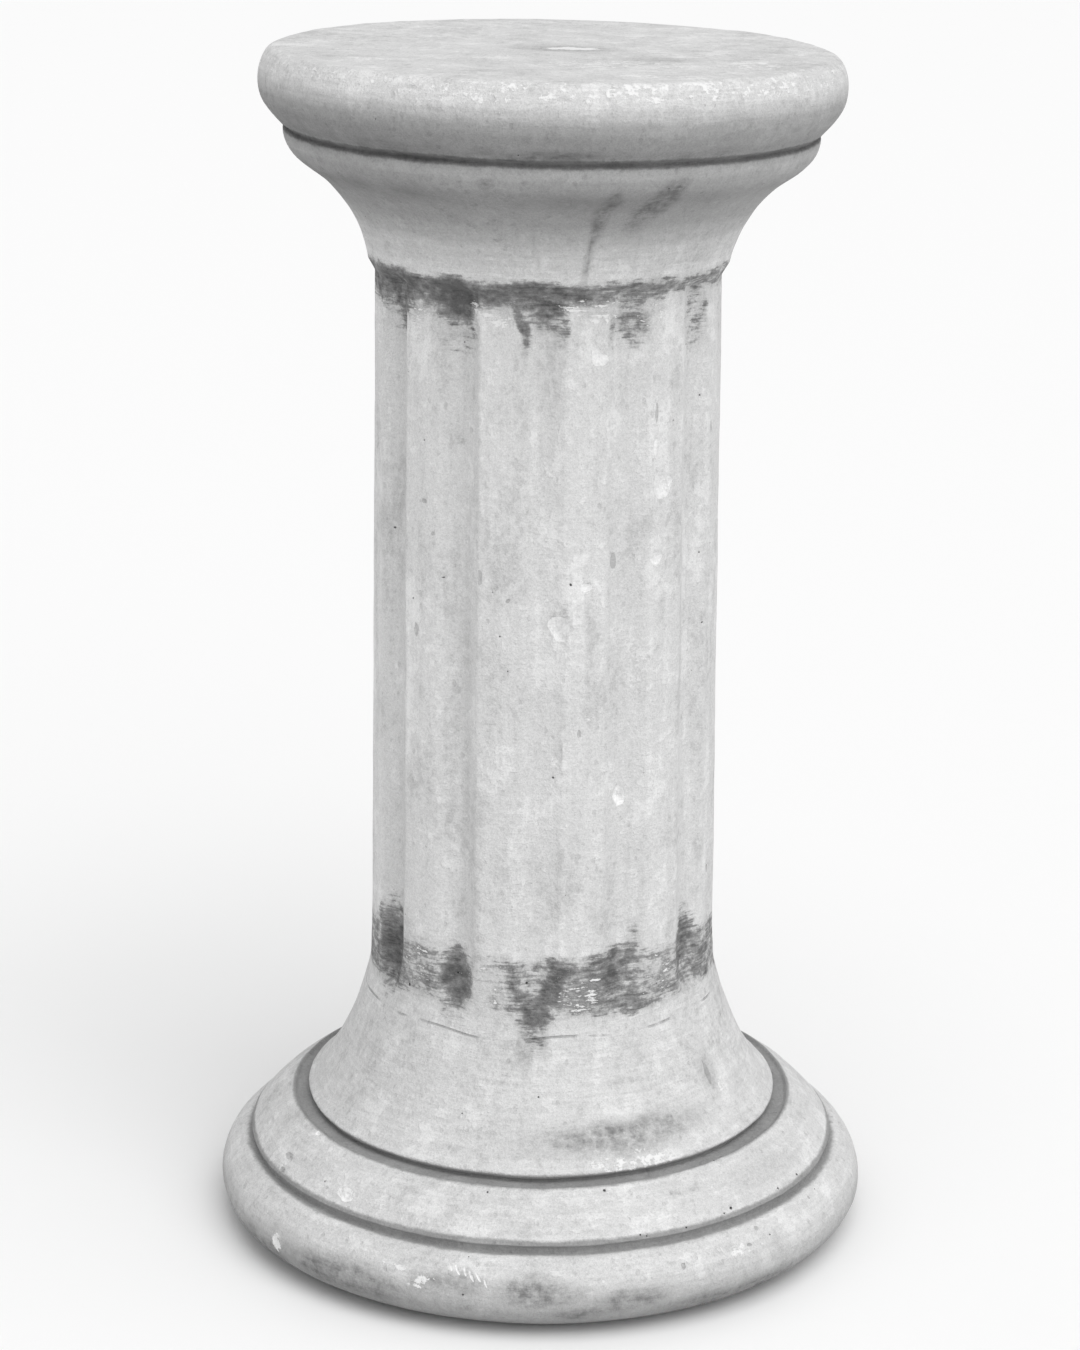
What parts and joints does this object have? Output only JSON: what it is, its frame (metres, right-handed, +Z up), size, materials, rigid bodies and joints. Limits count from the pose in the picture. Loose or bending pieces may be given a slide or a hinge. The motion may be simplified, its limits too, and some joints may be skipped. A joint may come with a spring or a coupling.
{
  "type": "fluted garden column",
  "caption": "Cast stone garden column: round moulded base, shallow fluted shaft with a slight taper, flaring bell and a flat round top to stand a pot, urn or figure on.",
  "frame": {"origin": "centre of the underside of the foot", "axes": "+Z up along the column's axis, -Y the front, through the middle of one flute"},
  "size_m": [0.39, 0.39, 0.7],
  "materials": {
    "cast_stone": "matt cast stone, dry-brushed over a grey wash in the recesses, with air holes and small chips"
  },
  "bodies": {
    "root": {"column": "cast_stone"}
  },
  "joints": []
}
